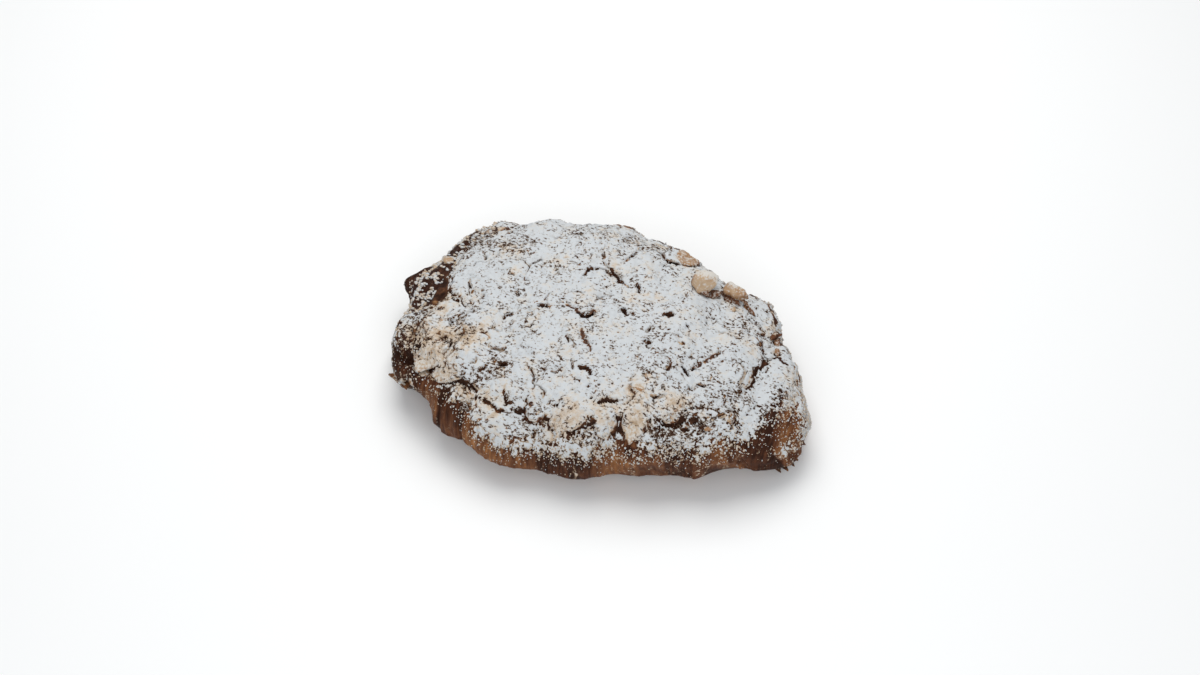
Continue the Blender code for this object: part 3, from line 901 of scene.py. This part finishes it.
BURIED = 150  # slices
shapes = []
while len(shapes) < BURIED:
    x, y = dice.uniform(-60, 62), dice.uniform(-48, 46)
    height, upward = landing(bed, x, y)
    if upward < 0.85 or in_crack(np.array([(x, y, height)]))[0] > -4:
        continue
    around = landings(bed, np.array([(x + 3, y), (x - 3, y), (x, y + 3), (x, y - 3)]))[0]
    lean = Euler((math.atan((around[2] - around[3]) / 6), -math.atan((around[0] - around[1]) / 6), 0))
    proud = dice.random() < 0.3  # most slices are sunk flat; some lift their front edge
    tip = Euler((dice.uniform(0.05, 0.15) if proud else dice.gauss(0.0, 0.03), dice.gauss(0, 0.04), 0))
    turn = lean.to_matrix() @ tip.to_matrix() @ Euler((0, 0, dice.uniform(0, 6.3))).to_matrix()
    size = dice.uniform(0.45, 0.9)
    rows = bent_copy(plain_slice, (14 * size, 11 * size, 0.8), dice)
    sink = dice.uniform(0.2, 0.5) if proud else dice.uniform(0.45, 0.8)
    shapes.append((rows @ np.array(turn).T + (x, y, around.mean() - sink), plain_slice))
buried = joined("buried_slices", shapes, flaked_almond)
cracked = ease(-0.6, 0.2, in_crack(points_of(buried)))
# Painted shade: in the cracks the buried slices are darkened too.
keep_numbers(buried, "toast_and_shade", np.maximum(rim_toast_and_underside_shade(plain_slice, len(shapes)), cracked))
keep_numbers(buried, "dusted", 0.4 * (1 - cracked))
print("buried slices:", len(shapes), "with", triangles(buried), "triangles")

# %% [markdown]
# A few chips of almond, broken off the slices, lie bare on the crust; those under a thick piece are painted
# dark brown as its shadow.

# %% Chips of almond
# Painted shadow: the high toast of the four chips under the thick pieces stands for the shade there.
CHIPS = [  # middle in mm, left to fall where its height is 0; heading and tip in degrees; size in mm; toast
    ((31, 24.5, 0), (-25, 12), (9, 5, 2.6), 0.8), ((35.5, 25.5, 0), (35, 12), (8, 4, 2.4), 0.8),
    ((42, 28, 0), (-20, 15), (9, 4, 2.4), 0.8), ((49, 28.5, 0), (-35, 10), (9, 2.5, 1.8), 0.7),
    ((-67.3, 13.7, 0), (30, 5), (4.5, 3.6, 1.6), 0.15), ((44.5, 23, 0), (70, 0), (3.2, 2.2, 1.6), 0.15),
    ((63, 20, 0), (-55, 10), (7, 3, 1.2), 0.65), ((65, 13.5, 0), (-70, 0), (4, 2.2, 1.2), 0.5),
    ((52, -30, 0), (10, 0), (3, 2, 1.4), 0.4), ((25.5, -27.5, 0), (-8, 0), (11, 1.6, 1.4), 0.3),
]
shapes, toast_and_shade = [], []
for place, (heading, tip), size, brown in CHIPS:
    rows = bent_copy(plain_slice, size, dice)
    turn = Euler((math.radians(tip), 0, math.radians(heading))).to_matrix()
    x, y, z = place
    shapes.append((rows @ np.array(turn).T + (x, y, z or landing(bed, x, y)[0] + 0.4), plain_slice))
    toast_and_shade += [brown] * len(rows)
chips = joined("almond_chips", shapes, flaked_almond)
keep_numbers(chips, "toast_and_shade", np.array(toast_and_shade))
keep_numbers(chips, "dusted", np.full(len(toast_and_shade), 0.3))
print("chips:", len(shapes))

# %% [markdown]
# ## Flaky shards
# At its two ends the roll is cut or torn, and the brittle layers stick out as thin, curled shards. Pulled
# out of the dough's own mesh they would be smeared, so one shard is modelled as a small sheet, narrowed
# to a tip, curled and given a thickness, and its copies are set into the ends.


# %% One shard, and where the shards stick out
def crust_shard(name):
    """A curled sheet of crust, 1 long on X from its root at the origin, 1 wide on Y."""
    bpy.ops.mesh.primitive_grid_add(x_subdivisions=16, y_subdivisions=10, size=1, location=(0.5, 0, 0))
    piece = apply_all(named(name))
    rows = points_of(piece) * MM
    rows[:, 1] *= 1 - 0.93 * rows[:, 0] ** 1.2
    rows[:, 1] += 0.1 * rows[:, 0] ** 2
    rows[:, 2] += 0.08 * rows[:, 0] ** 2 - 0.3 * rows[:, 1] ** 2
    set_points(piece, rows / MM)
    wall = piece.modifiers.new("wall", "SOLIDIFY")
    wall.thickness = 0.09
    wall.offset = 0
    return apply_all(piece)


shard_master = crust_shard("shard_master")
SHARDS = [  # root in mm; heading, dip and roll in degrees; length and width in mm
    ((-62, -36.5, 13), (174, 4, 10), (9.5, 8)),
    ((80.5, -10.5, 11), (-30, 0, 20), (4.6, 3.5)),
    ((79.5, -14.8, 7), (-38, 0, -10), (4.8, 3.5)),
    ((79.3, -15.2, 4), (-44, 2, 15), (4.6, 3)),
    ((77.8, -17, 2.5), (-48, 2, 0), (4.4, 3)),
    ((76, -18.2, 2), (-55, 0, 0), (4, 3)),
    ((57, 20, 25), (22, 6, -15), (8, 8)),
]
shapes = []
for root, (heading, dip, roll), (length, width) in SHARDS:
    rows = points_of(shard_master) * MM * (length, width, 7)
    rows[:, 2] += 0.25 * grain(rows, 2.0, len(shapes) + 40)
    turn = Euler((math.radians(roll), math.radians(dip), math.radians(heading))).to_matrix()
    shapes.append((rows @ np.array(turn).T + root, shard_master))
shards = joined("crust_shards", shapes, baked_crust)
keep_numbers(shards, "bake_and_shade", np.clip(0.62 + 0.3 * grain(points_of(shards), 4, 41), 0, 1))
keep_numbers(shards, "dust", np.clip(0.4 + 0.4 * grain(points_of(shards), 5, 42), 0, 1))
print("shards:", len(shapes), "with", triangles(shards), "triangles")

# %% [markdown]
# ## Icing sugar
# Sugar is sifted from above, so it makes a sheet over whatever lies there. Millions of grains would choke
# the scene, and white paint alone would leave no edge, so a fine grid is dropped on to the croissant.
# Sugar lies thick on flat places and fills small pits; it is thin or missing on slopes, below the rims of
# slices and in cracks. Where there is none, the grid dives under the surface, and the dived part is cut
# off. The sheet is then closed by a second skin just under the surface that it lies on.

# %% Drop a fine grid on to everything
CELL = 0.53  # mm
SPAN = (roll_high - roll_low)[:2]
counts = np.round(SPAN / CELL).astype(int)
bpy.ops.mesh.primitive_grid_add(x_subdivisions=int(counts[0]), y_subdivisions=int(counts[1]), size=1)
sugar = named("sifted_sugar")
flat = points_of(sugar) * MM
flat = flat[:, :2] * SPAN
everything = surface_under(cream, dough, buried, *(slices[node] for node in flat_nodes))
shape = (counts[1] + 1, counts[0] + 1)
height, upward = (field.reshape(shape) for field in landings(everything, flat))
print("the grid has", shape, "points")


# %% [markdown]
# The sheet of sugar is far from even, and noise alone can't say where. So three lists tell where it is
# scarce, where it is pricked with holes and where butter has soaked into it. The rest follows from the
# ground: slopes hold less, cliffs and cracks none, and noise breaks the sheet into crumbs.

# %% Where the sugar is scarce, speckled or buttery
SCARCE = [  # X, Y and reach in mm, and how much less sugar lies there
    (-78, 3, 13, 1.1), (-70, -1, 9, 0.9), (-74, -10, 6, 0.5), (-72, 15, 9, 0.9), (-65, 27, 8, 0.6),
    (-55, 35, 6, 0.3), (-62, -42, 6, 0.3), (76, -22, 12, 1.3), (77, -14, 6, 0.6), (27, -45, 5, 1.2),
    (-56, -44, 6, 0.5), (71, -31, 9, 0.8), (63, 22, 6, 0.5), (22, 40, 6, 1.5), (19, 43, 5, 1.0),
    (-67, 13.5, 3, 0.6), (-76, 17, 8, 0.9), (-73, 27, 8, 0.9), (-67, 33, 7, 0.8), (-60, 36, 6, 0.6),
    (-52, 38, 5, 0.4), (26, -41, 5, 0.8), (31, 24, 4, 0.9), (35.5, 25, 3.5, 0.9), (21, 40.5, 6, 1.1),
    (42, 27.5, 4, 0.9), (49, 28, 3.5, 0.8), (-74, 10, 10, 0.6), (-68, 24, 6, 0.5), (-57, 34, 7, 0.4),
    (63, 20, 3, 0.8), (46, 33, 4, 0.6), (65, 13, 3, 0.8), (25.5, -27.5, 3, 0.6),
]
SPECKLED = [  # X, Y and reach in mm, and how many more holes the sugar has there
    (-60, 26, 14, 0.8), (-66, -18, 9, 0.5), (-44, 22, 12, 0.7), (8, 43, 9, 0.5), (-2, 46, 8, 0.4),
    (-27, 16, 8, 0.35), (-65, -8, 9, 0.4), (-66, -25, 13, 0.6), (-46, -20, 12, 0.6), (-56, -29, 9, 0.35),
    (-38, -44, 12, 0.7), (-27, -36, 12, 0.55), (12, -50, 13, 0.6), (50, -25, 17, 0.6), (41, -38, 13, 0.7),
    (60, -12, 10, 0.45), (73, -5, 9, 0.55), (-18, 40, 11, 0.25), (50, 14, 14, 0.3), (-2, 40, 10, 0.4),
    (28, -16, 12, 0.3), (28, -50, 12, 0.4), (-8, -50, 12, 0.5), (60, 20, 9, 0.3), (-48, 37, 9, 0.4),
    (-60, -40, 7, 0.5), (-50, 5, 9, -0.3), (-32, 33, 10, -0.2), (-12, -22, 12, -0.15), (-12, 13, 10, -0.3),
    (13, 30, 9, -0.4), (31, 16, 12, -0.35), (5, -34, 8, -0.4), (66, -8, 7, -0.6), (67, -26, 6, -0.9),
    (-52, 10, 8, -0.2), (-59, -39.5, 2.5, -1.5),
]
BUTTERY = [  # X, Y and reach in mm, and how much warmer and thinner the sugar is
    (-45, -25, 15, 0.6), (-58, -29, 14, 0.55), (-47, -37, 9, 0.4), (-30, -26, 10, 0.3), (27, -37, 10, 0.5),
    (37, -26, 10, 0.45), (24, -29, 9, 0.35), (3, -44, 13, 0.5), (-25, -45, 12, 0.35), (-60, -10, 11, 0.4),
    (-47, 23, 9, 0.3), (-5, -12, 8, 0.3), (-2, 24, 8, 0.3), (15, 16, 8, 0.25), (45, 23, 6, 0.4),
    (25, 32, 8, 0.3), (-5, 42, 10, 0.3), (-67, -22, 10, 0.6), (60, 24, 8, 0.4), (8, 43, 9, 0.4),
    (14, -40, 8, 0.4), (-65, 5, 7, 0.35), (-38, -44, 9, 0.3), (-33, -12, 8, 0.25), (36, 4, 8, 0.2),
    (51, -12, 9, 0.2), (-20, 3, 8, 0.2), (-55, -45, 9, 0.4),
]
print(len(SCARCE), "scarce,", len(SPECKLED), "speckled and", len(BUTTERY), "buttery spots")


# %% Reading the ground
def highest_around(field):
    """The highest number within one cell of each."""
    for axis in (0, 1):
        field = np.max([np.roll(field, shift, axis) for shift in (-1, 0, 1)], axis=0)
    return field


def blurred(field, cells):
    """The field smoothed over so many cells each way."""
    for axis in (0, 1, 0, 1):
        field = sum(np.roll(field, shift, axis) for shift in range(-cells, cells + 1)) / (2 * cells + 1)
    return field


# %% How much sugar stays where
GONE, LEAST, MOST = -0.5, -0.15, 0.35  # mm of sugar: all gone, the least that is kept, and the most
OFF = 1  # mm above the table: anything lower is off the croissant
CLIFF = 0.55  # mm: a drop to the next point at which the sheet breaks off
rows = np.column_stack([flat, height.ravel()])
filled = np.where(height < 0, 0, height)
slope = np.hypot(*np.gradient(blurred(filled, 5), CELL))
smooth = blurred(filled, 2)
cliff = highest_around(filled) - filled - slope * CELL
above = rows[:, 2] - lower_edge(rows) + grain(rows, (2.4, 2.4, 5), 22) * 2.2
above = (above + grain(rows, (1.2, 1.2, 2.5), 24) * 1.2).reshape(shape)
clusters = (grain(rows, 7, 25) * 0.6 + grain(rows, 3, 26) * 0.4).reshape(shape)
creases = np.abs(grain(rows, 3.6, 27)).reshape(shape)
mounds = creases * 0.55 + np.abs(grain(rows, 1.9, 28)).reshape(shape) * 0.3 - 0.22
speckled = spots(rows, SPECKLED).reshape(shape)
crowd = np.clip(speckled + 0.9 * ease(9, 0, above) + 0.5 * ease(1.0, 2.4, slope), 0, 1)
rag = (grain(rows, (1.4, 1.0, 2.6), 35) * 0.65 + grain(rows, (0.8, 0.7, 1.4), 36) * 0.5).reshape(shape)
thick = 0.5 + 0.25 * clusters - spots(rows, SCARCE).reshape(shape) - 1.6 * ease(1.8, 2.9, slope)
thick -= (1.5 * in_pocket(rows) + 1.2 * dark_corner(rows)).reshape(shape)
thick = np.minimum(thick, 2 * (0.8 - 0.5 * crowd - 0.2 * clusters - rag))
thick = np.where((cliff > CLIFF) | (above < 0), GONE, thick)
thick = np.where(in_crack(rows).reshape(shape) > 0, GONE, thick)
depth = np.clip(thick, GONE, MOST) + mounds * ease(0, 0.4, thick)
level = np.maximum(height, height + (smooth - height) * ease(0, 0.4, thick)) + depth
steep = np.hypot(*np.gradient(blurred(level, 1), CELL)) - slope
print("sugar covers", round(float((thick > LEAST)[height > OFF].mean()), 2), "of the croissant")

# %% Cut off what dived under, and the walls over cliffs
TALLEST = 2  # mm: a wall higher than this is no sugar
set_points(sugar, np.column_stack([flat, level.ravel()]))
bare = ((thick < LEAST) | (height < OFF)).ravel()
mesh = bmesh.new()
mesh.from_mesh(sugar.data)
doomed = []
for face in mesh.faces:
    numbers = [corner.index for corner in face.verts]
    heights = [corner.co.z / MM for corner in face.verts]
    if all(bare[i] for i in numbers) or max(heights) - min(heights) > TALLEST:
        doomed.append(face)
bmesh.ops.delete(mesh, geom=doomed, context="FACES")
for _ in range(3):  # where two faces meet only at a corner, one of them goes too
    pinched = [vert for vert in mesh.verts if vert.link_faces and not vert.is_manifold]
    doomed = list({vert.link_faces[0] for vert in pinched})
    bmesh.ops.delete(mesh, geom=doomed, context="FACES")
mesh.to_mesh(sugar.data)
mesh.free()
print("the sheet has", len(sugar.data.polygons), "faces left")

# %% Close the sheet with a skin under the surface
SKIN = 0.25  # mm that the lower skin lies under the ground
top_points = len(sugar.data.vertices)
lowered = {"value": (0, 0, -0.4 * MM)}  # parts the two skins; each point's own depth follows below
edit_all(sugar, bpy.ops.mesh.extrude_region_move, TRANSFORM_OT_translate=lowered)
edit_all(sugar, bpy.ops.mesh.normals_make_consistent, inside=False)
rows_now = points_of(sugar)
column, line = np.round((rows_now[:, :2] / SPAN + 0.5) * counts).astype(int).T
skin = np.minimum(level, height) - SKIN
rows_now[top_points:, 2] = skin[line, column][top_points:]
set_points(sugar, rows_now)

# %% How thin and how pricked it is
thinness = 0.35 - 0.4 * thick + spots(rows, BUTTERY).reshape(shape) - 0.5 * mounds
thinness += 0.25 * grain(rows, 8, 81).reshape(shape)
holes = 0.3 + 0.35 * clusters + 0.6 * speckled + 0.25 * ease(0.12, 0, creases)
holes += 0.3 * ease(0.35, 0.0, thick)
holes += 0.3 * ease(0.3, 1.0, steep)
keep_numbers(sugar, "thin", np.clip(thinness, 0, 1)[line, column])
keep_numbers(sugar, "holes", np.clip(holes, 0, 1)[line, column])
sugar.data.materials.append(icing_sugar)
sugar.data.shade_smooth()
print("the sugar has", triangles(sugar), "triangles")

# %% [markdown]
# On the steep sides sugar only clings as specks and small clumps. A particle system would place them too,
# but each is placed here by its own chance, which the browning, the height and the noise set. One speck
# is a ball with few faces; copies in many sizes are stuck on to the dough, closer together near the top.

# %% Specks of sugar on the sides
RADII = (0.13, 0.16, 0.19, 0.24, 0.32)  # mm
bpy.ops.mesh.primitive_ico_sphere_add(subdivisions=1, radius=1)
speck_master = named("speck_master")
speck = points_of(speck_master) * MM
corners, normals = points_of(dough), normals_of(dough)
order = list(range(len(corners)))
dice.shuffle(order)
crowd = grain(corners, 5, 51) * 0.5 + grain(corners, 2, 52) * 0.4
dusty = np.interp(along_laps(corners), *zip(*DUSTING))
border = lower_edge(corners)
chances = 0.02 + dusty * (0.07 + 0.3 * np.maximum(0, crowd)) + 0.4 * ease(8, 0, border - corners[:, 2])
chances *= (1 - 0.9 * dark_corner(corners)) * (1 - 0.6 * ease(-60, -68, corners[:, 0]))
shapes = []
for i in order:
    z, facing_up = corners[i, 2], normals[i, 2]
    on_the_sheet = z > border[i] + 3 and facing_up > 0.45
    if facing_up < -0.15 or z < 1 or on_the_sheet or dice.random() > chances[i]:
        continue
    radius = dice.choice(RADII) * (1 + 0.5 * ease(7, 0, border[i] - z))
    turn = np.array(Euler([dice.uniform(0, 6) for _ in range(3)]).to_matrix())
    squash = (1, dice.uniform(0.6, 1), dice.uniform(0.5, 0.8))
    rows = speck * squash @ turn.T * (1, 1, dice.uniform(1, 1.8)) * radius
    aside = np.cross(normals[i], [dice.uniform(-0.6, 0.6) for _ in range(3)])  # off the mesh's own points
    shapes.append((rows + corners[i] + aside + normals[i] * radius * 0.2, speck_master))
print("specks:", len(shapes))

# %% Clumps of sugar on the dark crust of the left end
SPECKS_AND_CLUMPS = 6310
while len(shapes) < SPECKS_AND_CLUMPS:
    i = dice.randrange(len(corners))
    x, y, z = corners[i]
    if not (-77 < x < -58 and y > -14 and normals[i, 2] > 0.2) or dice.random() > 0.2 + crowd[i]:
        continue
    radius = dice.uniform(0.4, 1.0)
    rows = speck * (1 + 0.3 * grain(speck, 0.7, len(shapes)))[:, None]
    rows = rows * (radius, radius * 0.7, radius * 0.45)
    shapes.append((rows + corners[i] + (0, 0, 0.1), speck_master))
specks = joined("sugar_specks", shapes, icing_sugar)
keep_numbers(specks, "thin", np.repeat([dice.uniform(0.1, 0.9) for _ in shapes], len(speck)))
print("specks and clumps:", len(shapes), "with", triangles(specks), "triangles")

# %% [markdown]
# Whoever uses the croissant elsewhere may want its finish as a picture. An automatic unwrap would break
# the crumbs into thousands of islands, so the big pieces are unwrapped as seen from above, a little
# spread where they lie lower so that the sides don't fold over. Faces that look down get a strip to
# themselves.


# %% Unwrap the sheets from above
SPREAD = 0.012  # how much wider the picture is drawn for each mm further down
SIZE = 2.9  # the picture's size, in half lengths of the croissant
UPPER, LOWER = (0.01, 0.72), (0.75, 0.24)  # where the two strips start, and how wide they are


def unwrap_from_above(piece):
    """Lay the piece's faces out as seen from above, those that face down in a strip of their own."""
    rows, mesh = points_of(piece), piece.data
    spread = 1 + SPREAD * (high[2] - rows[:, 2])
    share = rows[:, :2] * spread[:, None] / (SIZE * high[0]) + 0.5
    looks_up = np.array([face.normal.z > 0 for face in mesh.polygons])
    corner_points = np.array([loop.vertex_index for loop in mesh.loops])
    up = np.repeat(looks_up, [len(face.vertices) for face in mesh.polygons])
    u, v = share[corner_points].T
    v = np.where(up, UPPER[0] + v * UPPER[1], LOWER[0] + v * LOWER[1])
    layer = mesh.uv_layers.new(name="OFBake")
    layer.data.foreach_set("uv", np.column_stack([u, v]).ravel())


for piece in (sugar, cream):
    for old in list(piece.data.uv_layers):
        piece.data.uv_layers.remove(old)
    unwrap_from_above(piece)
dough.data.uv_layers[0].name = "OFBake"

# %% [markdown]
# ## Handing over
# The masters have done their work and go. The solids that the finished pieces stand for are hidden, and
# every piece moves with the part's one body.

# %% Hand every piece over
for helper in (roll_form, fine_slice, plain_slice, shard_master, speck_master):
    bpy.data.objects.remove(helper)
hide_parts("croissant")
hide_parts("almond_cream")
finished = [dough, cream, shards, buried, chips, sugar, specks, *slices.values()]
for piece in finished:
    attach(piece, "root")
print(len(finished), "pieces with", sum(triangles(piece) for piece in finished), "triangles")
